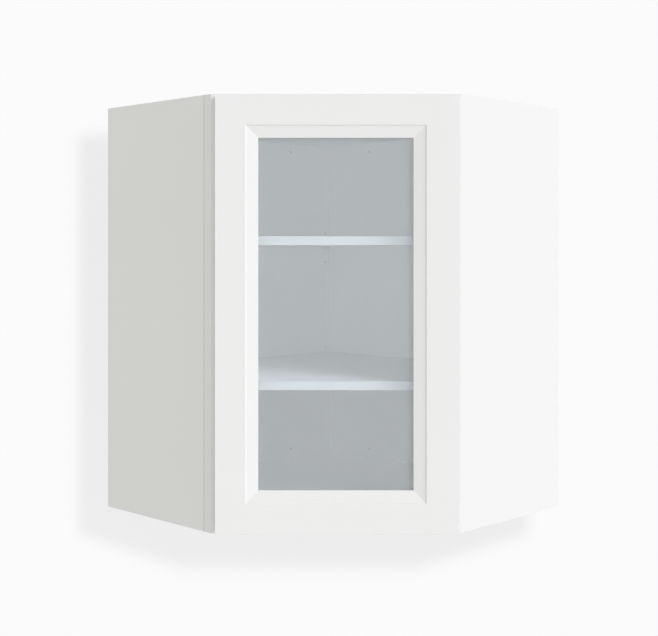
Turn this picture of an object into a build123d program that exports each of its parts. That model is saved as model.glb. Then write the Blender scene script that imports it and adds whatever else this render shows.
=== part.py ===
from build123d import *
import math
import os

# Diagonal corner wall cabinet with one glazed door. Millimetres, +Z up.
#
# The origin is the bottom of the corner where the two walls meet. The left wall is
# the plane x = 0 and the right wall the plane y = 0, and the cabinet fills x > 0,
# y < 0. Its front runs across the corner at 45 degrees.
#
# Whatever belongs to the front is drawn in the front's own frame and then placed:
# there x runs to the viewer's right, y runs back into the cabinet from the front
# face of the face frame, and x = 0 is the middle of the front.

# ---- overall sizes ----
wall_run = 609.6            # along each wall, from the corner
side_depth = 303.2          # each side panel, out from its wall to the front
height = 762.0

# ---- boards of the case ----
side_thick = 12.7
back_thick = 6.35
deck_thick = 12.7           # top and bottom panels
hang_rail_thick = 12.7      # rails behind the backs, against the walls
hang_rail_tall = 76.2
cleat_wide = 50.8           # upright cleats behind the backs, in the corner
block_size = 19.05          # glue blocks between decks and sides
block_long = 76.2
block_inset = 50.0          # from the wall end and from the front end of a side

# ---- face frame ----
frame_thick = 19.05
frame_wide = 38.1           # stiles and rails
side_rebate = 6.35          # step in each stile's back that laps the side panel
frame_dowel_r = 4.0
frame_dowel_long = 40.0
frame_dowel_pitch = 18.0

# ---- screws and holes through the hanging rails ----
wall_hole_r = 2.5
wall_hole_first = 139.7     # from the corner, along each wall
wall_hole_pitch = 406.4     # the usual spacing of wall studs
wall_hole_inset = 57.15     # from the cabinet's bottom and top
rail_screw_r = 2.0
rail_screw_head_r = 4.0
rail_screw_head_thick = 2.5
rail_screw_long = 38.0
rail_screw_count = 3
rail_screw_inset = 70.0     # from both ends of a hanging rail

# ---- shelves and their supports ----
shelf_thick = 15.9
shelf_under = {"lower": 245.3, "upper": 499.7}    # heights of their undersides
shelf_setback = 3.0         # front edge, behind the face frame
shelf_gap = 1.6             # to the sides and backs
edging_thick = 1.0
hole_pitch = 32.0
peg_r = 2.5
peg_long = 8.0
peg_hole_spare = 1.0        # hole deeper than the peg
peg_hole_gap = 0.1          # hole radius over the peg's
peg_drop = 4.0              # peg's axis under the shelf
bracket_wide = 9.0
bracket_reach = 9.0
bracket_tall = 8.5
bracket_thick = 2.0
pin_inset_back = 64.0       # pins on a side panel, from the wall
pin_inset_front = 64.0      # and from the front end
corner_pin_inset = 12.7     # pin on the left back, from the corner

# ---- door ----
door_overlay = 29.4         # over each stile
door_end_reveal = 3.175     # face frame left bare above and below
door_thick = 19.05
door_gap = 3.0              # between the closed door and the face frame
door_flat = 52.2            # flat border of a door member
step_run = 2.0              # small slanted step inside the border
step_drop = 2.0
bevel_run = 20.0
bevel_drop = 5.0
lip_depth = 12.4            # back of the lip that holds the glass, from the front
rebate_wide = 8.0
edge_round = 0.5            # front outer edge
arris_round = 0.5           # edges beside the step and the bevel
door_dowel_r = 3.0
door_dowel_long = 30.0
door_dowel_depth = 10.5     # from the door's front
door_dowel_insets = (24.0, 44.0)    # from the corner, along both edges

# ---- glass and what holds it ----
glass_thick = 3.2
glass_gap = 1.0             # to the rebate's wall
gasket_thick = 0.5
retainer_lap = 9.0          # over the door's back
retainer_thick = 1.5
retainer_gap = 0.3          # to the rebate's wall
retainer_screw_r = 1.25
retainer_screw_head_r = 2.6
retainer_screw_head_thick = 1.0
retainer_screw_long = 10.0
retainer_screw_inset = 110.0    # from the door's corners
retainer_screw_spacing = 180.0  # at most

# ---- hinges ----
hinge_inset = 95.0          # from the door's top and bottom edges
pivot_inset = 7.0           # from the door's hinged edge
pivot_depth = 9.0           # from the door's back
pin_clearance = 0.05        # pin in its knuckle, radial
cup_r = 17.5
cup_deep = 13.0
cup_tab = 3.0               # wood left between the cup and the door's edge
cup_wall = 0.6
cup_floor = 0.8
cup_slot = 10.0             # height of the slot that the arm swings in
flange_thick = 1.2
flange_lip = 1.0            # beyond the cup
ear_offset = 9.5            # screws, from the cup's centre towards the glass
ear_pitch = 45.0
ear_wide = 11.0
ear_margin = 5.5            # beyond each screw
hinge_pin_r = 1.1
hinge_pin_hold = 2.0        # into the cup at each end
knuckle_wall = 1.15
arm_thick = 1.5
arm_tall = 9.0
arm_offset = 0.6            # arm, off the pin's axis towards the cup's floor
plate_tall = 34.0           # the arm's plate on the stile's edge
plate_start = 1.5           # behind the face frame's front
plate_end = 1.5             # short of the face frame's back
plate_screw_pitch = 20.0
plate_screw_r = 1.75
plate_screw_head_r = 3.4
plate_screw_head_thick = 1.4
plate_screw_long = 16.0
ear_screw_r = 1.6
ear_screw_head_r = 3.2
ear_screw_head_thick = 1.0
ear_screw_long = 12.0
spring_thick = 0.5
spring_wide = 6.0
spring_long = 22.0

# ---- door bumpers ----
bumper_r = 4.75
bumper_inset = 10.0         # from the door's free edge
bumper_inset_z = 25.0       # from the door's top and bottom edges

# ---- worked out from the sizes above ----
root2 = math.sqrt(2)
front_mid = (wall_run + side_depth) / 2
front_half = (wall_run - side_depth) / root2
frame_inner = front_half - frame_wide
side_seat = frame_thick - side_rebate
back_face = hang_rail_thick + back_thick
side_face = wall_run - side_thick
bottom_deck_top = frame_wide
top_deck_under = height - frame_wide
frame_mid_depth = frame_thick / 2
door_mid = height / 2
door_half = frame_inner + door_overlay
door_wide = 2 * door_half
door_tall = height - 2 * door_end_reveal
door_back = -door_gap
door_front = door_back - door_thick
member_wide = door_flat + step_run + bevel_run
glass_front = lip_depth + gasket_thick
glass_back = glass_front + glass_thick
pivot_x = pivot_inset - door_half
pivot_y = door_back - pivot_depth
cup_mid = cup_tab + cup_r - pivot_inset         # from the pivot
arm_reach = -frame_inner - pivot_x              # from the pivot to the stile's edge
frame_plane = -pivot_y                          # the face frame's front, from the pivot
hinge_heights = {
    "lower": door_mid - door_tall / 2 + hinge_inset,
    "upper": door_mid + door_tall / 2 - hinge_inset,
}

FRONT = Location((front_mid, -front_mid, 0), (0, 0, 45))
UP = (0, 0, 1)


# ---- shapes used throughout ----
def prism(points, bottom, top):
    """Upright board whose plan is the polygon through the points."""
    plan = make_face(Polyline(*points, close=True))
    return Pos(0, 0, bottom) * extrude(plan, top - bottom, dir=UP)


def block(x_range, y_range, z_range):
    """Box between two limits on each axis."""
    low, high = zip(x_range, y_range, z_range)
    size = [b - a for a, b in zip(low, high)]
    middle = [(a + b) / 2 for a, b in zip(low, high)]
    return Pos(*middle) * Box(*size)


def mirrored(points):
    """The same plan on the other wall's side of the cabinet."""
    return [(-y, -x) for x, y in points]


def rod(radius, length, at, turn):
    """Cylinder that starts at a point and runs along the turned +Z axis."""
    shift = Pos(0, 0, length / 2)
    return Pos(*at) * Rotation(*turn) * shift * Cylinder(radius, length)


def spaced(first, last, count):
    """Evenly spaced values, both ends included."""
    return [first + (last - first) * i / (count - 1) for i in range(count)]


TO_RIGHT = (0, 90, 0)
TO_LEFT = (0, -90, 0)
TO_BACK = (-90, 0, 0)
TO_FRONT = (90, 0, 0)


# ---- case ----
def side_panel_plan():
    """Left side panel: its front end is cut parallel to the front."""
    cut = side_depth - root2 * side_seat
    return [(0, -wall_run), (cut, -wall_run), (cut + side_thick, -side_face), (0, -side_face)]


def front_turn(depth, far):
    """Distance from the wall at which a line at that depth meets the line y = -far."""
    return 2 * front_mid - far - root2 * depth


def room_plan(depth, gap):
    """Plan of a board that fills the case, its front edge at a depth behind the front."""
    near = back_face + gap
    far = side_face - gap
    turn = front_turn(depth, far)
    return [(near, -near), (near, -far), (turn, -far), (far, -turn), (far, -near)]


def wall_hole_spots():
    """Distance from the corner and height of each screw into the wall."""
    alongs = (wall_hole_first, wall_hole_first + wall_hole_pitch)
    heights = (wall_hole_inset, height - wall_hole_inset)
    return [(along, z) for along in alongs for z in heights]


def rail_screw_spots():
    """Distance from the corner and height of each screw from a hanging rail into a deck."""
    alongs = spaced(rail_screw_inset, side_face - rail_screw_inset, rail_screw_count)
    heights = (bottom_deck_top - deck_thick / 2, top_deck_under + deck_thick / 2)
    return [(along, z) for along in alongs for z in heights]


def on_left_wall(along, z):
    """Place a shape drawn along +Z so that it enters the left wall's side at a spot."""
    return Location((0, -along, z), TO_RIGHT)


def on_right_wall(along, z):
    """The same on the right wall, entering along -Y."""
    return Location((along, 0, z), TO_FRONT)


def rail_screw():
    """Countersunk screw with its head's face at z = 0."""
    head = Pos(0, 0, rail_screw_head_thick / 2) * Cone(
        rail_screw_head_r, rail_screw_r, rail_screw_head_thick
    )
    shank = Pos(0, 0, rail_screw_long / 2) * Cylinder(rail_screw_r, rail_screw_long)
    return head + shank


def wall_cuts():
    """Holes through the rails and backs, and the seats of the rail screws."""
    hole = Pos(0, 0, back_face / 2) * Cylinder(wall_hole_r, 2 * back_face)
    cuts = []
    for place in (on_left_wall, on_right_wall):
        cuts += [place(*spot) * hole for spot in wall_hole_spots()]
        cuts += [place(*spot) * rail_screw() for spot in rail_screw_spots()]
    return cuts


def rail_screws():
    places = (on_left_wall, on_right_wall)
    return [place(*spot) * rail_screw() for place in places for spot in rail_screw_spots()]


def hanging_rails():
    """Two rails against each wall, behind the backs."""
    left = [(0, 0), (0, -side_face), (hang_rail_thick, -side_face), (hang_rail_thick, 0)]
    right = mirrored(left)
    right = [(max(x, hang_rail_thick), y) for x, y in right]
    levels = {"bottom": (0, hang_rail_tall), "top": (height - hang_rail_tall, height)}
    rails = {}
    for level, (low, high) in levels.items():
        rails[f"left_hanging_rail_{level}"] = prism(left, low, high)
        rails[f"right_hanging_rail_{level}"] = prism(right, low, high)
    return rails


def back_panels():
    left = block((hang_rail_thick, back_face), (-side_face, -hang_rail_thick), (0, height))
    right = block((back_face, side_face), (-back_face, -hang_rail_thick), (0, height))
    return {"left_back_panel": left, "right_back_panel": right}


def corner_cleats():
    """Upright cleats behind the backs, between the hanging rails."""
    levels = (hang_rail_tall, height - hang_rail_tall)
    left = block((0, hang_rail_thick), (-cleat_wide, 0), levels)
    right = block((hang_rail_thick, cleat_wide), (-hang_rail_thick, 0), levels)
    return {"left_corner_cleat": left, "right_corner_cleat": right}


def decks():
    plan = room_plan(frame_thick, 0)
    bottom = prism(plan, bottom_deck_top - deck_thick, bottom_deck_top)
    top = prism(plan, top_deck_under, top_deck_under + deck_thick)
    return {"bottom_panel": bottom, "top_panel": top}


def glue_blocks():
    """Four blocks under the bottom panel and four on the top panel, along the sides."""
    front_end = side_depth - root2 * side_seat - block_inset
    starts = (back_face + block_inset, front_end - block_long)
    under = (bottom_deck_top - deck_thick - block_size, bottom_deck_top - deck_thick)
    over = (top_deck_under + deck_thick, top_deck_under + deck_thick + block_size)
    groups = {}
    for name, levels in (("bottom_glue_blocks", under), ("top_glue_blocks", over)):
        blocks = []
        for start in starts:
            along = (start, start + block_long)
            across = (-side_face, block_size - side_face)
            blocks.append(block(along, across, levels))
            blocks.append(block((side_face - block_size, side_face), (-along[1], -along[0]), levels))
        groups[name] = blocks
    return groups


# ---- face frame, in the front's frame ----
def stile_plan(side):
    """Plan of a stile; side is -1 for the left one and 1 for the right one."""
    lap = root2 * side_thick
    points = [
        (front_half, 0),
        (front_half + side_seat, side_seat),
        (front_half + side_seat - lap, side_seat),
        (front_half + frame_thick - lap, frame_thick),
        (frame_inner, frame_thick),
        (frame_inner, 0),
    ]
    return [(side * x, y) for x, y in points]


def frame_dowels():
    """Two dowels across each joint between a stile and a rail."""
    mids = (frame_wide / 2, height - frame_wide / 2)
    dowels = []
    for side in (-1, 1):
        for mid in mids:
            for z in (mid - frame_dowel_pitch / 2, mid + frame_dowel_pitch / 2):
                start = (side * frame_inner - frame_dowel_long / 2, frame_mid_depth, z)
                dowels.append(rod(frame_dowel_r, frame_dowel_long, start, TO_RIGHT))
    return dowels


def face_frame():
    across = (-frame_inner, frame_inner)
    thick = (0, frame_thick)
    dowels = frame_dowels()
    pieces = {
        "face_frame_left_stile": prism(stile_plan(-1), 0, height) - dowels,
        "face_frame_right_stile": prism(stile_plan(1), 0, height) - dowels,
        "face_frame_bottom_rail": block(across, thick, (0, frame_wide)) - dowels,
        "face_frame_top_rail": block(across, thick, (height - frame_wide, height)) - dowels,
        "face_frame_dowels": dowels,
    }
    for place in hinge_places().values():
        pieces["face_frame_left_stile"] -= plate_screws(place)
    return pieces


# ---- shelves and their pins ----
def shelf_pin():
    """Peg and bracket; the origin is on the panel's face, at the shelf's underside."""
    half = bracket_wide / 2
    tongue = block((0, bracket_reach), (-half, half), (-bracket_thick, 0))
    web = block((0, bracket_thick), (-half, half), (-bracket_tall, 0))
    peg = rod(peg_r, peg_long, (0, 0, -peg_drop), TO_LEFT)
    return tongue + web + peg


def pin_places(under):
    """Where the pins of a shelf stand, with +X pointing out of the panel."""
    rear = pin_inset_back
    fore = side_depth - root2 * side_seat - pin_inset_front
    places = [Location((along, -side_face, under), (0, 0, 90)) for along in (rear, fore)]
    places += [Location((side_face, -along, under), (0, 0, 180)) for along in (rear, fore)]
    places.append(Location((back_face, -back_face - corner_pin_inset, under)))
    return places


def peg_holes():
    """Three heights of holes for each shelf, one pitch apart."""
    depth = peg_long + peg_hole_spare
    hole = rod(peg_r + peg_hole_gap, depth, (0, 0, -peg_drop), TO_LEFT)
    holes = []
    for under in shelf_under.values():
        for rise in (-hole_pitch, 0, hole_pitch):
            holes += [place * hole for place in pin_places(under + rise)]
    return holes


def shelves():
    pieces = {}
    board = room_plan(frame_thick + shelf_setback + edging_thick, shelf_gap)
    front = room_plan(frame_thick + shelf_setback, shelf_gap)[2:4]
    edging = [front[0], front[1], board[3], board[2]]
    for name, under in shelf_under.items():
        pieces[f"{name}_shelf"] = prism(board, under, under + shelf_thick)
        pieces[f"{name}_shelf_edging"] = prism(edging, under, under + shelf_thick)
        pieces[f"{name}_shelf_pins"] = [place * shelf_pin() for place in pin_places(under)]
    return pieces


# ---- door, in the front's frame ----
def mitred(section, half_across, length):
    """Left-hand member of a mitred frame round the origin.

    The section gives distances in from the outer edge and back from the door's front.
    """
    reach = max(point.X for point in section.vertices())
    start = Pos(-half_across, door_front, -length / 2)
    bar = start * extrude(section, length, dir=UP)
    end = length / 2
    wedge = Plane.XZ * make_face(
        Polyline(
            (-half_across, -end),
            (-half_across, end),
            (reach - half_across, end - reach),
            (reach - half_across, reach - end),
            close=True,
        )
    )
    slab = extrude(wedge, 2 * door_thick, both=True)
    return bar & Pos(0, door_front, 0) * slab


def four_sides(section):
    """The four members of a mitred frame that follows the door's outline."""
    upright = mitred(section, door_half, door_tall)
    level = mitred(section, door_tall / 2, door_wide)
    turns = {"left": (upright, 0), "top": (level, 90), "right": (upright, 180), "bottom": (level, -90)}
    return {
        side: Pos(0, 0, door_mid) * Rotation(0, turn, 0) * bar
        for side, (bar, turn) in turns.items()
    }


def member_section():
    """Flat border, step, bevel, lip and rebate of a door member."""
    bevel_start = door_flat + step_run
    corners = [
        ((0, 0), edge_round),
        ((door_flat, 0), arris_round),
        ((bevel_start, step_drop), arris_round),
        ((member_wide, step_drop + bevel_drop), arris_round),
        ((member_wide, lip_depth), 0),
        ((member_wide - rebate_wide, lip_depth), 0),
        ((member_wide - rebate_wide, door_thick), 0),
        ((0, door_thick), 0),
    ]
    points = [point for point, _ in corners]
    radii = [radius for _, radius in corners]
    return make_face(FilletPolyline(*points, radius=radii, close=True))


def gasket_section():
    outer = member_wide - rebate_wide + glass_gap
    points = [(outer, lip_depth), (member_wide, lip_depth), (member_wide, glass_front), (outer, glass_front)]
    return make_face(Polyline(*points, close=True))


def retainer_section():
    """Strip with a flange on the door's back and a leg on the glass."""
    wall = member_wide - rebate_wide
    outer = wall - retainer_lap
    leg = wall + retainer_gap
    inner = member_wide - glass_gap
    top = door_thick + retainer_thick
    points = [
        (outer, door_thick),
        (leg, door_thick),
        (leg, glass_back),
        (inner, glass_back),
        (inner, top),
        (outer, top),
    ]
    return make_face(Polyline(*points, close=True))


def door_dowels():
    """Two dowels square to each mitre."""
    dowels = []
    for side in (-1, 1):
        for end in (-1, 1):
            for inset in door_dowel_insets:
                x = side * (door_half - inset)
                z = door_mid + end * (door_tall / 2 - inset)
                tilt = Rotation(0, -45 * side * end, 0)
                dowel = tilt * Cylinder(door_dowel_r, door_dowel_long)
                dowels.append(Pos(x, door_front + door_dowel_depth, z) * dowel)
    return dowels


def screw(shank_r, shank_long, head_r, head_thick, at, turn):
    """Flat-headed screw whose head stands on a surface; it runs in along the turned +Z."""
    head = rod(head_r, head_thick, (0, 0, -head_thick), (0, 0, 0))
    shank = rod(shank_r, shank_long, (0, 0, 0), (0, 0, 0))
    return Pos(*at) * Rotation(*turn) * (head + shank)


def retainer_screws():
    """Screws through the retainers' flanges, along all four sides."""
    inset = member_wide - rebate_wide - retainer_lap / 2
    flange = door_back + retainer_thick
    head = (retainer_screw_head_r, retainer_screw_head_thick)
    sides = [(door_half, door_tall, turn) for turn in (0, 180)]
    sides += [(door_tall / 2, door_wide, turn) for turn in (90, -90)]
    screws = []
    for half_across, length, turn in sides:
        run = length - 2 * retainer_screw_inset
        count = 1 + math.ceil(run / retainer_screw_spacing)
        for along in spaced(-run / 2, run / 2, count):
            at = (inset - half_across, flange, along)
            one = screw(retainer_screw_r, retainer_screw_long, *head, at, TO_FRONT)
            screws.append(Pos(0, 0, door_mid) * Rotation(0, turn, 0) * one)
    return screws


def bumpers():
    """Two bumpers on the door's back, at its free edge."""
    reach = door_tall / 2 - bumper_inset_z
    spots = [(door_half - bumper_inset, door_back, door_mid + end * reach) for end in (-1, 1)]
    return [rod(bumper_r, door_gap, spot, TO_BACK) for spot in spots]


def glass():
    inset = member_wide - rebate_wide + glass_gap
    half_wide = door_half - inset
    half_tall = door_tall / 2 - inset
    depth = (door_front + glass_front, door_front + glass_back)
    return block((-half_wide, half_wide), depth, (door_mid - half_tall, door_mid + half_tall))


def door():
    members = four_sides(member_section())
    gasket = four_sides(gasket_section())
    retainers = four_sides(retainer_section())
    dowels = door_dowels()
    screws = retainer_screws()
    pieces = {"door_glass": glass(), "door_dowels": dowels, "door_bumpers": bumpers()}
    for side, kind in (("left", "stile"), ("right", "stile"), ("top", "rail"), ("bottom", "rail")):
        pieces[f"door_{side}_{kind}"] = members[side] - dowels - screws
        pieces[f"{side}_glass_retainer"] = retainers[side] - screws
    pieces["glass_gasket"] = list(gasket.values())
    pieces["retainer_screws"] = screws
    for place in hinge_places().values():
        bore = place * cup_blank()
        pieces["door_left_stile"] -= [bore] + ear_screws(place)
    return pieces


# ---- hinges: the origin is the pivot, with the front's directions ----
def hinge_places():
    return {name: Pos(pivot_x, pivot_y, z) for name, z in hinge_heights.items()}


def cup_blank():
    return rod(cup_r, cup_deep, (cup_mid, pivot_depth, 0), TO_FRONT)


def hinge_pin():
    half = cup_slot / 2 + hinge_pin_hold
    return rod(hinge_pin_r, 2 * half, (0, 0, -half), (0, 0, 0))


def hinge_cup():
    """Cup let into the door, with a flange on the door's back and a slot for the arm."""
    outside = pivot_depth + flange_thick
    flange = rod(cup_r + flange_lip, flange_thick, (cup_mid, pivot_depth, 0), TO_BACK)
    ear_x = cup_mid + ear_offset
    ear_z = ear_pitch / 2 + ear_margin
    ears = block((ear_x - ear_wide / 2, ear_x + ear_wide / 2), (pivot_depth, outside), (-ear_z, ear_z))
    floor = pivot_depth - cup_deep + cup_floor
    round_part = rod(cup_r - cup_wall, outside - floor, (cup_mid, floor, 0), TO_BACK)
    slot = block((cup_mid - cup_r, cup_mid + cup_r), (floor, outside), (-cup_slot / 2, cup_slot / 2))
    body = cup_blank() + flange + ears - (round_part & slot) - hinge_pin()
    return body - ear_screws(Pos(0, 0, 0))


def hinge_arm():
    """Knuckle on the pin, arm out of the cup, and plate on the stile's inner edge."""
    knuckle_r = hinge_pin_r + pin_clearance + knuckle_wall
    half = arm_tall / 2
    under = -arm_offset - arm_thick
    plate_y = (frame_plane + plate_start, frame_plane + frame_thick - plate_end)
    edge = (arm_reach, arm_reach + arm_thick)
    knuckle = rod(knuckle_r, arm_tall, (0, 0, -half), (0, 0, 0))
    arm = block((0, edge[1]), (under, -arm_offset), (-half, half))
    leg = block(edge, (under, plate_y[0]), (-half, half))
    plate = block(edge, plate_y, (-plate_tall / 2, plate_tall / 2))
    bore = rod(hinge_pin_r + pin_clearance, 2 * arm_tall, (0, 0, -arm_tall), (0, 0, 0))
    return knuckle + arm + leg + plate - bore - plate_screws(Pos(0, 0, 0))


def plate_screws(place):
    """The two screws that hold an arm's plate to the stile."""
    x = arm_reach + arm_thick
    y = frame_plane + frame_mid_depth
    head = (plate_screw_head_r, plate_screw_head_thick)
    return [
        place * screw(plate_screw_r, plate_screw_long, *head, (x, y, z), TO_LEFT)
        for z in (-plate_screw_pitch / 2, plate_screw_pitch / 2)
    ]


def ear_screws(place):
    """The two screws that hold a cup's ears to the door."""
    x = cup_mid + ear_offset
    y = pivot_depth + flange_thick
    head = (ear_screw_head_r, ear_screw_head_thick)
    return [
        place * screw(ear_screw_r, ear_screw_long, *head, (x, y, z), TO_FRONT)
        for z in (-ear_pitch / 2, ear_pitch / 2)
    ]


def hinge_spring():
    """Leaf on the cup's floor, under the arm."""
    floor = pivot_depth - cup_deep + cup_floor
    across = (cup_mid - spring_long / 2, cup_mid + spring_long / 2)
    return block(across, (floor, floor + spring_thick), (-spring_wide / 2, spring_wide / 2))


def hinges():
    pieces = {"hinge_arm_screws": [], "hinge_cup_screws": []}
    for name, place in hinge_places().items():
        pieces[f"{name}_hinge_cup"] = place * hinge_cup()
        pieces[f"{name}_hinge_pin"] = place * hinge_pin()
        pieces[f"{name}_hinge_arm"] = place * hinge_arm()
        pieces[f"{name}_hinge_spring"] = place * hinge_spring()
        pieces["hinge_arm_screws"] += plate_screws(place)
        pieces["hinge_cup_screws"] += ear_screws(place)
    return pieces


# ---- the whole cabinet ----
def solids_of(shape):
    """A piece's solids, whether it is one shape or a list of separate ones."""
    shapes = shape if isinstance(shape, list) else [shape]
    return [solid for one in shapes for solid in one.solids()]


def case():
    pieces = {
        "left_side_panel": prism(side_panel_plan(), 0, height),
        "right_side_panel": prism(mirrored(side_panel_plan()), 0, height),
    }
    for group in (back_panels(), hanging_rails(), corner_cleats(), decks(), glue_blocks()):
        pieces.update(group)
    for name in ("left_side_panel", "right_side_panel", "left_back_panel", "left_corner_cleat"):
        pieces[name] -= peg_holes()
    drilled = [name for name in pieces if "back_panel" in name or "hanging_rail" in name]
    for name in drilled + ["bottom_panel", "top_panel"]:
        pieces[name] -= wall_cuts()
    pieces["hanging_rail_screws"] = rail_screws()
    return pieces


def cabinet():
    pieces = case()
    pieces.update(shelves())
    for group in (face_frame(), door(), hinges()):
        for name, shape in group.items():
            pieces[name] = [FRONT * solid for solid in solids_of(shape)]
    return pieces


os.makedirs("parts", exist_ok=True)
for node, shape in cabinet().items():
    solids = solids_of(shape)
    whole = solids[0] if len(solids) == 1 else Compound(children=solids)
    export_step(whole, f"parts/{node}.step")
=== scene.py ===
import math

import bpy
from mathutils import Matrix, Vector


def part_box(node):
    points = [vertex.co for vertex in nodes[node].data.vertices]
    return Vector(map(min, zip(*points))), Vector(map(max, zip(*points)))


# Looks of a white diagonal corner wall cabinet with a glazed door. Metres, in the
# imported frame: the walls are x = 0 and y = 0, and the door faces +x and -y.

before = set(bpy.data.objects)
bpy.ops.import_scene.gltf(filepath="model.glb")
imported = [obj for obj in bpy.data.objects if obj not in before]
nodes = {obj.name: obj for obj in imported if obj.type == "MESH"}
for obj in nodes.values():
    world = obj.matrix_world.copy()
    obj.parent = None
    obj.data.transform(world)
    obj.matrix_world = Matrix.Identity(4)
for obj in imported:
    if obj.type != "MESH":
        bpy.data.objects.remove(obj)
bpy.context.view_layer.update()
scene = bpy.context.scene

# ---- directions and places ----
X, Y, Z = Vector((1, 0, 0)), Vector((0, 1, 0)), Vector((0, 0, 1))
RIGHT = Vector((1, 1, 0)).normalized()      # to the viewer's right
INWARD = Vector((-1, 1, 0)).normalized()    # from the door into the cabinet
WALL_RUN, SIDE_DEPTH = 0.6096, 0.3032       # the cabinet's length on each wall, and its sides' depth
FRONT_MID = (X - Y) * (WALL_RUN + SIDE_DEPTH) / 2


def front(across, depth, up):
    """A point by its place across the front, its depth behind it, and its height."""
    return FRONT_MID + RIGHT * across + INWARD * depth + Z * up


# ---- shader trees ----
class Tree:
    """Short calls for building one node tree."""

    def __init__(self, owner):
        owner.use_nodes = True
        self.tree = owner.node_tree
        self.tree.nodes.clear()

    def node(self, kind, **settings):
        made = self.tree.nodes.new(kind)
        for name, value in settings.items():
            setattr(made, name, value)
        return made

    def set(self, socket, value):
        """Links an output to a socket, or sets a plain value on it."""
        if hasattr(value, "is_output"):
            self.tree.links.new(value, socket)
        else:
            socket.default_value = value

    def math(self, operation, *values, clamp=False):
        made = self.node("ShaderNodeMath", operation=operation, use_clamp=clamp)
        for socket, value in zip(made.inputs, values):
            self.set(socket, value)
        return made.outputs[0]

    def vector(self, operation, *values, out="Vector"):
        made = self.node("ShaderNodeVectorMath", operation=operation)
        for socket, value in zip(made.inputs, values):
            self.set(socket, value)
        return made.outputs[out]

    def scaled(self, vector, factor):
        made = self.node("ShaderNodeVectorMath", operation="SCALE")
        self.set(made.inputs[0], vector)
        self.set(made.inputs["Scale"], factor)
        return made.outputs[0]

    def place(self, scale=(1, 1, 1)):
        """The point in the piece's own space, stretched by a scale along each axis."""
        made = self.node("ShaderNodeMapping")
        self.set(made.inputs["Vector"], self.node("ShaderNodeTexCoord").outputs["Object"])
        made.inputs["Scale"].default_value = scale
        return made.outputs[0]

    def place_along(self, axis):
        """The point's place along one axis of the piece's own space."""
        made = self.node("ShaderNodeSeparateXYZ")
        self.set(made.inputs[0], self.node("ShaderNodeTexCoord").outputs["Object"])
        return made.outputs[axis]

    def noise(self, vector, scale=1.0, detail=3.0, rough=0.55, distort=0.0):
        made = self.node("ShaderNodeTexNoise")
        self.set(made.inputs["Vector"], vector)
        made.inputs["Scale"].default_value = scale
        made.inputs["Detail"].default_value = detail
        made.inputs["Roughness"].default_value = rough
        made.inputs["Distortion"].default_value = distort
        return made.outputs["Fac"]

    def spread(self, value, low, high, start=0.0, end=1.0):
        """Runs from low to high while the value goes from start to end."""
        made = self.node("ShaderNodeMapRange")
        self.set(made.inputs["Value"], value)
        ends = {"From Min": start, "From Max": end, "To Min": low, "To Max": high}
        for name, number in ends.items():
            made.inputs[name].default_value = number
        return made.outputs["Result"]

    def blend(self, factor, first, second):
        """Goes from the first colour to the second as the factor goes from 0 to 1."""
        made = self.node("ShaderNodeMix", data_type="RGBA", blend_type="MIX")
        factor_in, first_in, second_in = made.inputs[0], made.inputs[6], made.inputs[7]
        self.set(factor_in, factor)
        self.set(first_in, first)
        self.set(second_in, second)
        return made.outputs[2]

    def mix(self, factor, first, second):
        """Goes from the first shader to the second as the factor goes from 0 to 1."""
        made = self.node("ShaderNodeMixShader")
        for socket, value in zip(made.inputs, (factor, first, second)):
            self.set(socket, value)
        return made.outputs[0]

    def bump(self, height, distance, under=None):
        """A normal roughened by a height, on top of another normal if one is given."""
        made = self.node("ShaderNodeBump")
        made.inputs["Strength"].default_value = 1.0
        made.inputs["Distance"].default_value = distance
        self.set(made.inputs["Height"], height)
        if under is not None:
            self.set(made.inputs["Normal"], under)
        return made.outputs[0]

    def surface(self, colour, roughness, normal, **plain):
        made = self.node("ShaderNodeBsdfPrincipled")
        self.set(made.inputs["Base Color"], colour)
        self.set(made.inputs["Roughness"], roughness)
        self.set(made.inputs["Normal"], normal)
        for name, value in plain.items():
            made.inputs[name.replace("_", " ")].default_value = value
        return made.outputs[0]

    def end(self, shader, kind="ShaderNodeOutputMaterial"):
        self.set(self.node(kind).inputs["Surface"], shader)


def new_material(name):
    made = bpy.data.materials.new(name)
    return made, Tree(made)


# ---- colours ----
def rgb(r, g, b):
    return (r, g, b, 1.0)


def grey(level):
    return rgb(level, level, level)


def darker(tone, share):
    return rgb(*(c * share for c in tone[:3]))


PAINT = rgb(0.872, 0.872, 0.870)
# painted shade: the face frame's left stile is painted darker, standing for the door's shadow on it
LEFT_STILE_SHADED_TONE = rgb(0.835, 0.835, 0.833)
# painted shade: the dark hairline at the joint between the left panel and the face frame
JOINT_SHADE = rgb(0.42, 0.415, 0.40)
MELAMINE = rgb(0.950, 0.952, 0.952)
EDGE_STRIP = rgb(0.888, 0.908, 0.910)
BIRCH = rgb(0.74, 0.60, 0.43)
BIRCH_GRAIN = rgb(0.64, 0.49, 0.32)
BIRCH_FLECK = rgb(0.52, 0.38, 0.24)
GLUE_LAYER = rgb(0.47, 0.33, 0.21)
SAWN_SPECK = rgb(0.36, 0.25, 0.16)
BEECH = rgb(0.72, 0.53, 0.35)
BEECH_GRAIN = rgb(0.58, 0.39, 0.23)
BEECH_FLECK = rgb(0.44, 0.28, 0.16)
PIN_WHITE = rgb(0.88, 0.88, 0.86)
RETAINER_WHITE = rgb(0.84, 0.84, 0.83)
GASKET_GREY = rgb(0.74, 0.75, 0.75)
BUMPER_CLEAR = rgb(0.84, 0.86, 0.86)
NICKEL = rgb(0.66, 0.655, 0.64)
ZINC = rgb(0.62, 0.62, 0.61)
GLASS_TINT = rgb(0.952, 0.977, 0.996)
GLASS_FILM = rgb(0.84, 0.86, 0.87)

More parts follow.
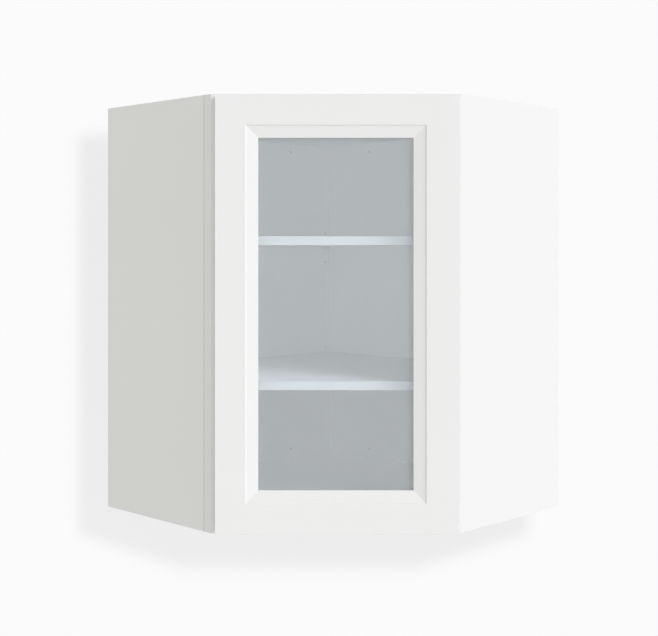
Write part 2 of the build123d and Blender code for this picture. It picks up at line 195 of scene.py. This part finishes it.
# ---- paint ----
PEEL_DEPTH = 0.00003
JOINT_WIDTH = 0.0012
PANEL_LOW, PANEL_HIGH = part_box("left_side_panel")
PANEL_THICK = PANEL_HIGH.y - PANEL_LOW.y
JOINT_PLACE = PANEL_HIGH.x - PANEL_THICK    # where the left panel's outer face ends


def paint_layers(t, tone):
    """Sprayed satin paint: faint mottling, uneven gloss and a fine orange peel."""
    here = t.place()
    colour = t.blend(t.noise(here, scale=6.0, detail=2.0), tone, darker(tone, 0.985))
    gloss = t.spread(t.noise(here, scale=22.0, detail=4.0), 0.36, 0.46)
    peel = t.bump(t.noise(here, scale=900.0, detail=2.0), PEEL_DEPTH)
    skin = t.bump(t.noise(here, scale=120.0, detail=2.0), PEEL_DEPTH * 2, under=peel)
    return colour, gloss, skin


def paint(name, tone=PAINT):
    made, t = new_material(name)
    t.end(t.surface(*paint_layers(t, tone)))
    return made


def facing(t, direction, least=0.7):
    """1 where the surface faces a direction, and 0 elsewhere."""
    normal = t.node("ShaderNodeNewGeometry").outputs["True Normal"]
    dot = t.vector("DOT_PRODUCT", normal, tuple(direction), out="Value")
    return t.math("GREATER_THAN", dot, least)


def joint_shade_line(t, colour):
    """A painted shade line: a thin dark band in the paint where the left panel's outer face meets the face
    frame, standing for the shade in the joint.
    """
    start = JOINT_PLACE - JOINT_WIDTH
    near = t.spread(t.place_along("X"), 0.0, 1.0, start, start + JOINT_WIDTH / 2)
    shown = t.math("MULTIPLY", near, facing(t, -Y), clamp=True)
    return t.blend(shown, colour, JOINT_SHADE)


# ---- wood. Its grain and its layers go by axis: 0, 1 or 2 for x, y or z ----
PLY_PITCH = 0.0016
BARE_ROUGHNESS = 0.72


def along_grain(axis, across, along):
    """A noise scale that is coarse along the grain and fine across it."""
    stretch = [across] * 3
    stretch[axis] = along
    return stretch


def finer(stretch, times):
    return [times * s for s in stretch]


def birch_face(t, grain):
    """Birch veneer: its colour, and the fine noise of its pores."""
    stretch = along_grain(grain, 26.0, 1.6)
    rings = t.noise(t.place(stretch), detail=6.0, rough=0.6, distort=0.6)
    pores = t.noise(t.place(finer(stretch, 12)))
    face = t.blend(t.spread(rings, 0.0, 1.0, start=0.3, end=0.7), BIRCH, BIRCH_GRAIN)
    return t.blend(t.spread(pores, 0.0, 0.35, start=0.35, end=0.8), face, BIRCH_FLECK), pores


def ply_edge(t, layers):
    """A sawn edge: the stripes of the plywood's layers, one to a pitch, and dark specks."""
    wobble = t.math("MULTIPLY", t.noise(t.place(), scale=60.0, detail=2.0), PLY_PITCH / 4)
    place = t.math("ADD", t.place_along(layers), wobble)
    stripe = t.math("PINGPONG", t.math("DIVIDE", place, PLY_PITCH), 1.0)
    tone = t.blend(t.spread(stripe, 0.0, 1.0, start=0.35, end=0.65), BIRCH, GLUE_LAYER)
    speck = t.noise(t.place(), scale=700.0)
    return t.blend(t.spread(speck, 0.0, 0.4, start=0.4, end=0.8), tone, SAWN_SPECK)


def board(name, tone, grain, layers, bare_faces=(), bare_edges=(), shaded_joint=False):
    """A coated plywood board that is bare on its faces and edges towards the given directions."""
    made, t = new_material(name)
    colour, gloss, skin = paint_layers(t, tone)
    if shaded_joint:
        colour = joint_shade_line(t, colour)
    bare = [(side, True) for side in bare_faces] + [(side, False) for side in bare_edges]
    for side, is_face in bare:
        here = facing(t, side)
        wood = birch_face(t, grain)[0] if is_face else ply_edge(t, layers)
        colour = t.blend(here, colour, wood)
        gloss = t.math("MAXIMUM", gloss, t.math("MULTIPLY", here, BARE_ROUGHNESS))
    t.end(t.surface(colour, gloss, skin))
    return made


def bare_plywood(name, grain, layers):
    """An uncoated board: veneer on its two faces, and stripes on its four edges."""
    made, t = new_material(name)
    face, pores = birch_face(t, grain)
    sides = [side for axis, side in enumerate((X, Y, Z)) if axis != layers]
    on_edges = [t.math("MAXIMUM", facing(t, side), facing(t, -side)) for side in sides]
    colour = t.blend(t.math("MAXIMUM", *on_edges), face, ply_edge(t, layers))
    t.end(t.surface(colour, t.spread(pores, 0.55, 0.72), t.bump(pores, 0.00008)))
    return made


def hardwood(name, grain):
    """Planed beech with its short flecks."""
    made, t = new_material(name)
    stretch = along_grain(grain, 60.0, 3.0)
    rings = t.noise(t.place(stretch), detail=5.0, rough=0.6, distort=0.4)
    fleck = t.noise(t.place(finer(stretch, 9)), detail=2.0)
    colour = t.blend(t.spread(rings, 0.0, 1.0, start=0.3, end=0.7), BEECH, BEECH_GRAIN)
    colour = t.blend(t.spread(fleck, 0.0, 0.4, start=0.5, end=0.8), colour, BEECH_FLECK)
    t.end(t.surface(colour, t.spread(fleck, 0.5, 0.7), t.bump(fleck, 0.00006)))
    return made


# ---- plastic, metal and glass ----
def plastic(name, tone, rough, soft=0.0):
    """Moulded plastic, faintly grained; a soft one lets some light in."""
    made, t = new_material(name)
    here = t.place()
    colour = t.blend(t.noise(here, scale=40.0, detail=2.0), tone, darker(tone, 0.97))
    gloss = t.spread(t.noise(here, scale=90.0), rough - 0.05, rough + 0.06)
    grain = t.bump(t.noise(here, scale=1800.0, detail=2.0), 0.00002)
    t.end(t.surface(colour, gloss, grain, Subsurface_Weight=soft, Subsurface_Scale=0.002))
    return made


def steel(name, tone):
    """Plated steel with fine lines along z."""
    made, t = new_material(name)
    lines = t.noise(t.place(along_grain(2, 2400.0, 60.0)))
    colour = t.blend(t.noise(t.place(), scale=70.0), tone, darker(tone, 0.9))
    gloss = t.spread(lines, 0.23, 0.35)
    t.end(t.surface(colour, gloss, t.bump(lines, 0.000004), Metallic=1.0))
    return made


def clear_glass(name):
    """A clear pane with a faint blue tint, a light haze, and more mirror at a slant."""
    made, t = new_material(name)
    see = t.node("ShaderNodeBsdfTransparent")
    see.inputs["Color"].default_value = GLASS_TINT
    film = t.node("ShaderNodeBsdfDiffuse")
    film.inputs["Color"].default_value = GLASS_FILM
    mirror = t.node("ShaderNodeBsdfGlossy")
    mirror.inputs["Roughness"].default_value = 0.02
    haze = t.spread(t.noise(t.place(), scale=5.0), 0.14, 0.16)
    slant = t.math("POWER", t.node("ShaderNodeLayerWeight").outputs["Facing"], 5.0)
    veil = t.mix(haze, see.outputs[0], film.outputs[0])
    t.end(t.mix(t.spread(slant, 0.04, 1.0), veil, mirror.outputs[0]))
    return made


# ---- each piece's finish ----
SHELVES = ["upper_shelf", "lower_shelf"]
EDGINGS = ["upper_shelf_edging", "lower_shelf_edging"]
BACKS = ["left_back_panel", "right_back_panel"]


def assign(material, *names):
    for name in names:
        for slot in nodes[name].material_slots:
            slot.material = material


def dress_case():
    # the left panel's paint carries a painted shade line at its joint with the face frame
    left = board("side_paint_left", PAINT, grain=2, layers=1, bare_edges=(Z, -Z, -X), shaded_joint=True)
    right = board("side_paint_right", PAINT, grain=2, layers=0, bare_edges=(Z, -Z, Y))
    back_left = board("back_left", MELAMINE, grain=2, layers=0, bare_faces=(-X,), bare_edges=(Z, -Z))
    back_right = board("back_right", MELAMINE, grain=2, layers=1, bare_faces=(Y,), bare_edges=(Z, -Z))
    top = board("top_board", MELAMINE, grain=0, layers=2, bare_faces=(Z,), bare_edges=(-X, Y))
    bottom = board("bottom_board", MELAMINE, grain=0, layers=2, bare_edges=(-X, Y))
    assign(left, "left_side_panel")
    assign(right, "right_side_panel")
    assign(back_left, "left_back_panel")
    assign(back_right, "right_back_panel")
    assign(top, "top_panel")
    assign(bottom, "bottom_panel")


def dress_frame():
    assign(paint("frame_paint"), "face_frame_right_stile", "face_frame_top_rail", "face_frame_bottom_rail")
    # the left stile gets the darker tone, a painted shade for the door's shadow on its reveal
    assign(paint("left_stile_painted_shade", LEFT_STILE_SHADED_TONE), "face_frame_left_stile")


def dress_bare_wood():
    rail_left = bare_plywood("ply_rail_left", grain=1, layers=0)
    rail_right = bare_plywood("ply_rail_right", grain=0, layers=1)
    assign(rail_left, "left_hanging_rail_top", "left_hanging_rail_bottom")
    assign(rail_right, "right_hanging_rail_top", "right_hanging_rail_bottom")
    assign(bare_plywood("ply_cleat_left", grain=2, layers=0), "left_corner_cleat")
    assign(bare_plywood("ply_cleat_right", grain=2, layers=1), "right_corner_cleat")
    beech = hardwood("beech", grain=0)
    assign(beech, "top_glue_blocks", "bottom_glue_blocks", "face_frame_dowels", "door_dowels")


def dress_shelves():
    assign(paint("shelf_coat", MELAMINE), *SHELVES)
    assign(plastic("edge_strip", EDGE_STRIP, rough=0.25), *EDGINGS)
    assign(plastic("pin_white", PIN_WHITE, rough=0.35, soft=0.3), "upper_shelf_pins", "lower_shelf_pins")


def dress_door():
    members = [f"door_{side}" for side in ("left_stile", "right_stile", "top_rail", "bottom_rail")]
    retainers = [f"{side}_glass_retainer" for side in ("left", "right", "top", "bottom")]
    assign(paint("door_paint_coat"), *members)
    assign(plastic("retainer_white", RETAINER_WHITE, rough=0.45), *retainers)
    assign(plastic("gasket_grey", GASKET_GREY, rough=0.7), "glass_gasket")
    assign(plastic("bumper_soft", BUMPER_CLEAR, rough=0.3, soft=0.5), "door_bumpers")
    assign(clear_glass("pane"), "door_glass")


def dress_metal():
    kinds = ("cup", "pin", "arm", "spring")
    hinges = [f"{end}_hinge_{kind}" for end in ("upper", "lower") for kind in kinds]
    screws = ["hinge_arm_screws", "hinge_cup_screws", "retainer_screws", "hanging_rail_screws"]
    assign(steel("nickel", NICKEL), *hinges)
    assign(steel("zinc", ZINC), *screws)


# ---- eased edges ----
BOARD_EASE, STRIP_EASE = 0.0006, 0.0008
WELD_WITHIN = 0.00001
EASED_ABOVE = 30    # degrees between two faces


def ease(width, names):
    """Takes the sharpness off a board's edges, so its joints read as fine lines."""
    for name in names:
        weld = nodes[name].modifiers.new("weld", "WELD")
        weld.merge_threshold = WELD_WITHIN
        edge = nodes[name].modifiers.new("ease", "BEVEL")
        edge.width = width
        edge.segments = 2
        edge.limit_method = "ANGLE"
        edge.angle_limit = math.radians(EASED_ABOVE)
        edge.harden_normals = True


# ---- camera ----
LENS_ACROSS, LENS_DISTANCE, LENS_HEIGHT = -0.04836, 2.05393, 0.49376
LENS_PLACE = front(LENS_ACROSS, -LENS_DISTANCE, LENS_HEIGHT)
SQUARE_TO_DOOR = (math.radians(90), 0, math.radians(45))
LENS_LENGTH, SENSOR_WIDTH = 64.79, 36    # millimetres
SHIFT_ACROSS, SHIFT_UP = 0.0322, -0.1054


def photo_camera():
    """Level and square to the door, with its picture shifted as in the photograph."""
    made = bpy.data.objects.new("camera", bpy.data.cameras.new("camera"))
    scene.collection.objects.link(made)
    made.location = LENS_PLACE
    made.rotation_euler = SQUARE_TO_DOOR
    made.data.lens = LENS_LENGTH
    made.data.sensor_width = SENSOR_WIDTH
    made.data.shift_x = SHIFT_ACROSS
    made.data.shift_y = SHIFT_UP
    scene.camera = made


# ---- light. Azimuths are degrees to the right of the door's facing ----
WHITE = 0.956     # the level of the plain background
AMBIENT = 0.20
NEUTRAL, WARM = (1.0, 1.0, 1.0), (1.0, 1.014, 0.81)
LOBES = [    # azimuth, elevation, sharpness, strength, tint
    (0, 0, 2.0, 0.645, NEUTRAL),
    (-90, 0, 4.0, 0.34, WARM),
    (-135, 0, 4.0, 0.585, WARM),
    (180, 0, 2.0, 0.08, NEUTRAL),
    (0, 90, 2.0, 0.18, NEUTRAL),
    (0, -90, 2.0, 0.80, NEUTRAL),
]
KEY = (54, 27, 30, 0.56)    # azimuth, elevation, degrees across, share
THROUGH_GLASS = [    # the same four, and the pieces it lights
    (42, 27, 30, 0.50, ["lower_shelf"]),
    (54, 27, 30, 0.46, EDGINGS),
]
FILL_ACROSS = 20    # degrees
FILLS = [    # azimuth, elevation, share, the pieces it lights
    (0, 0, 0.126, BACKS),
    (0, 0, 0.13, EDGINGS),
    (0, 90, 0.06, SHELVES),
    (0, 90, 0.08, ["bottom_panel"]),
    (0, -90, 0.08, SHELVES + ["top_panel"]),
]


def aim(azimuth, elevation):
    """The direction of an azimuth and an elevation in degrees."""
    a, e = math.radians(azimuth), math.radians(elevation)
    return RIGHT * math.sin(a) * math.cos(e) - INWARD * math.cos(a) * math.cos(e) + Z * math.sin(e)


def soft_light(t):
    """The world's colour in a direction: an even level, and a broad lobe round each aim."""
    ray = t.node("ShaderNodeTexCoord").outputs["Generated"]
    total = (AMBIENT, AMBIENT, AMBIENT)
    for azimuth, elevation, sharpness, strength, tint in LOBES:
        dot = t.vector("DOT_PRODUCT", ray, tuple(aim(azimuth, elevation)), out="Value")
        shape = t.math("POWER", t.math("MAXIMUM", dot, 0.0), sharpness)
        total = t.vector("ADD", t.scaled(tint, t.math("MULTIPLY", shape, strength)), total)
    return total


def sky():
    """Broad soft light from all round, and plain white where the camera or a reflection sees it."""
    world = bpy.data.worlds.new("studio")
    scene.world = world
    t = Tree(world)
    soft, plain = t.node("ShaderNodeBackground"), t.node("ShaderNodeBackground")
    t.set(soft.inputs["Color"], soft_light(t))
    plain.inputs["Color"].default_value = grey(WHITE)
    path = t.node("ShaderNodeLightPath").outputs
    mirrored = t.math("MAXIMUM", path["Is Glossy Ray"], path["Is Transmission Ray"])
    seen = t.math("MAXIMUM", path["Is Camera Ray"], mirrored)
    t.end(t.mix(seen, soft.outputs[0], plain.outputs[0]), "ShaderNodeOutputWorld")


def sun(name, azimuth, elevation, across, share):
    """A large far lamp that gives a surface facing it this share of a plain level."""
    lamp = bpy.data.lights.new(name, "SUN")
    lamp.energy = share * math.pi
    lamp.angle = math.radians(across)
    made = bpy.data.objects.new(name, lamp)
    made.rotation_euler = aim(azimuth, elevation).to_track_quat("Z", "Y").to_euler()
    scene.collection.objects.link(made)
    return made


def listed(name, pieces, state="INCLUDE"):
    """A collection that a lamp reads as the pieces it reaches, or as the ones it passes by."""
    made = bpy.data.collections.new(name)
    for piece in pieces:
        made.objects.link(piece)
    for entry in made.collection_objects:
        entry.light_linking.link_state = state
    return made


def named(names):
    return [nodes[name] for name in names]


def key_light():
    """The lamp from the right, whose light reaches the shelves as if the glass weren't there."""
    key = sun("key", *KEY)
    key.light_linking.receiver_collection = listed("not_lit_by_key", named(EDGINGS), "EXCLUDE")
    for k, (azimuth, elevation, across, share, pieces) in enumerate(THROUGH_GLASS):
        made = sun(f"through_glass_{k}", azimuth, elevation, across, share)
        made.visible_glossy = False
        made.light_linking.receiver_collection = listed(f"lit_through_glass_{k}", named(pieces))
        made.light_linking.blocker_collection = listed(f"clear_{k}", named(["door_glass"]), "EXCLUDE")


def inside_fill():
    """A little even light on the pieces inside, which the glass and the frame leave dim."""
    for k, (azimuth, elevation, share, pieces) in enumerate(FILLS):
        made = sun(f"inside_{k}", azimuth, elevation, FILL_ACROSS, share)
        made.data.use_shadow = False
        made.visible_glossy = False
        made.light_linking.receiver_collection = listed(f"lit_inside_{k}", named(pieces))


# ---- floor and backdrop ----
FLOOR_Z = -1.372
FLOOR_HALF_WIDTH = 9.0
FLOOR_GLOW = 0.66
FLOOR_TONES = grey(0.40), grey(0.38)
BACKDROP_DEPTH = 2.60
BACKDROP_HALF_WIDTH, BACKDROP_TOP = 9.0, 6.0
BACKDROP_TONE = 0.03
SKY_ON_BACKDROP = 0.7     # the level that the world's light gives a white surface there
SHADE = 0.14              # how much darker the backdrop is in the cabinet's shadow
WALL_LAMP_ACROSS, WALL_LAMP_UP = 0.112, 0.1025    # from the lens
WALL_LAMP_SIZE = 0.074
WALL_LAMP_PLACE = LENS_PLACE + RIGHT * WALL_LAMP_ACROSS + Z * WALL_LAMP_UP
WALL_LAMP_REACH = BACKDROP_DEPTH + LENS_DISTANCE
WALL_LAMP_POWER = SHADE / BACKDROP_TONE * math.pi ** 2 * WALL_LAMP_REACH ** 2


def sheet_of(name, corners):
    """One flat sheet of the stage, which throws no light or shade on anything else."""
    mesh = bpy.data.meshes.new(name)
    mesh.from_pydata([tuple(c) for c in corners], [], [(0, 1, 2, 3)])
    made = bpy.data.objects.new(name, mesh)
    scene.collection.objects.link(made)
    made.visible_diffuse = False
    made.visible_shadow = False
    return made


def glowing(t, strength, tone):
    """A matt surface with a glow of its own, which is clear from behind."""
    glow, matt = t.node("ShaderNodeEmission"), t.node("ShaderNodeBsdfDiffuse")
    t.set(glow.inputs["Strength"], strength)
    t.set(matt.inputs["Color"], tone)
    both = t.node("ShaderNodeAddShader")
    t.set(both.inputs[0], glow.outputs[0])
    t.set(both.inputs[1], matt.outputs[0])
    behind = t.node("ShaderNodeNewGeometry").outputs["Backfacing"]
    t.end(t.mix(behind, both.outputs[0], t.node("ShaderNodeBsdfTransparent").outputs[0]))


def wall_lamp(wall):
    """A small lamp by the camera that lights the backdrop alone, so the cabinet's shadow shows there."""
    lamp = bpy.data.lights.new("wall_lamp", "AREA")
    lamp.shape = "DISK"
    lamp.size = WALL_LAMP_SIZE
    lamp.energy = WALL_LAMP_POWER
    made = bpy.data.objects.new("wall_lamp", lamp)
    made.location = WALL_LAMP_PLACE
    made.rotation_euler = SQUARE_TO_DOOR
    made.visible_glossy = False
    scene.collection.objects.link(made)
    made.light_linking.receiver_collection = listed("lit_by_wall_lamp", [wall])


def backdrop():
    """A pale wall behind the cabinet. Its glow evens out the wall lamp, which weakens to the sides."""
    low, high, half = FLOOR_Z, BACKDROP_TOP, BACKDROP_HALF_WIDTH
    places = [(-half, low), (half, low), (half, high), (-half, high)]
    wall = sheet_of("backdrop", [front(across, BACKDROP_DEPTH, up) for across, up in places])
    wall_lamp(wall)
    material, t = new_material("backdrop_paint")
    here = t.node("ShaderNodeNewGeometry").outputs["Position"]
    away = t.vector("DISTANCE", here, tuple(WALL_LAMP_PLACE), out="Value")
    lamp_share = t.math("POWER", t.math("DIVIDE", WALL_LAMP_REACH, away), 4.0)
    without_lamp = WHITE - BACKDROP_TONE * SKY_ON_BACKDROP
    glow = t.math("SUBTRACT", without_lamp, t.math("MULTIPLY", lamp_share, SHADE))
    glowing(t, glow, grey(BACKDROP_TONE))
    wall.data.materials.append(material)


def floor():
    """A plain pale floor well below the cabinet."""
    half = FLOOR_HALF_WIDTH
    corners = [(-half, -half), (half, -half), (half, half), (-half, half)]
    ground = sheet_of("floor", [Vector((x, y, FLOOR_Z)) for x, y in corners])
    material, t = new_material("floor_paint")
    glowing(t, FLOOR_GLOW, t.blend(t.noise(t.place(), scale=1.5), *FLOOR_TONES))
    ground.data.materials.append(material)


dress_case()
dress_frame()
dress_bare_wood()
dress_shelves()
dress_door()
dress_metal()
ease(BOARD_EASE, ["left_side_panel", "right_side_panel", "face_frame_left_stile", "face_frame_right_stile"])
ease(STRIP_EASE, EDGINGS)
photo_camera()
sky()
key_light()
inside_fill()
backdrop()
floor()
scene.view_settings.view_transform = "Standard"
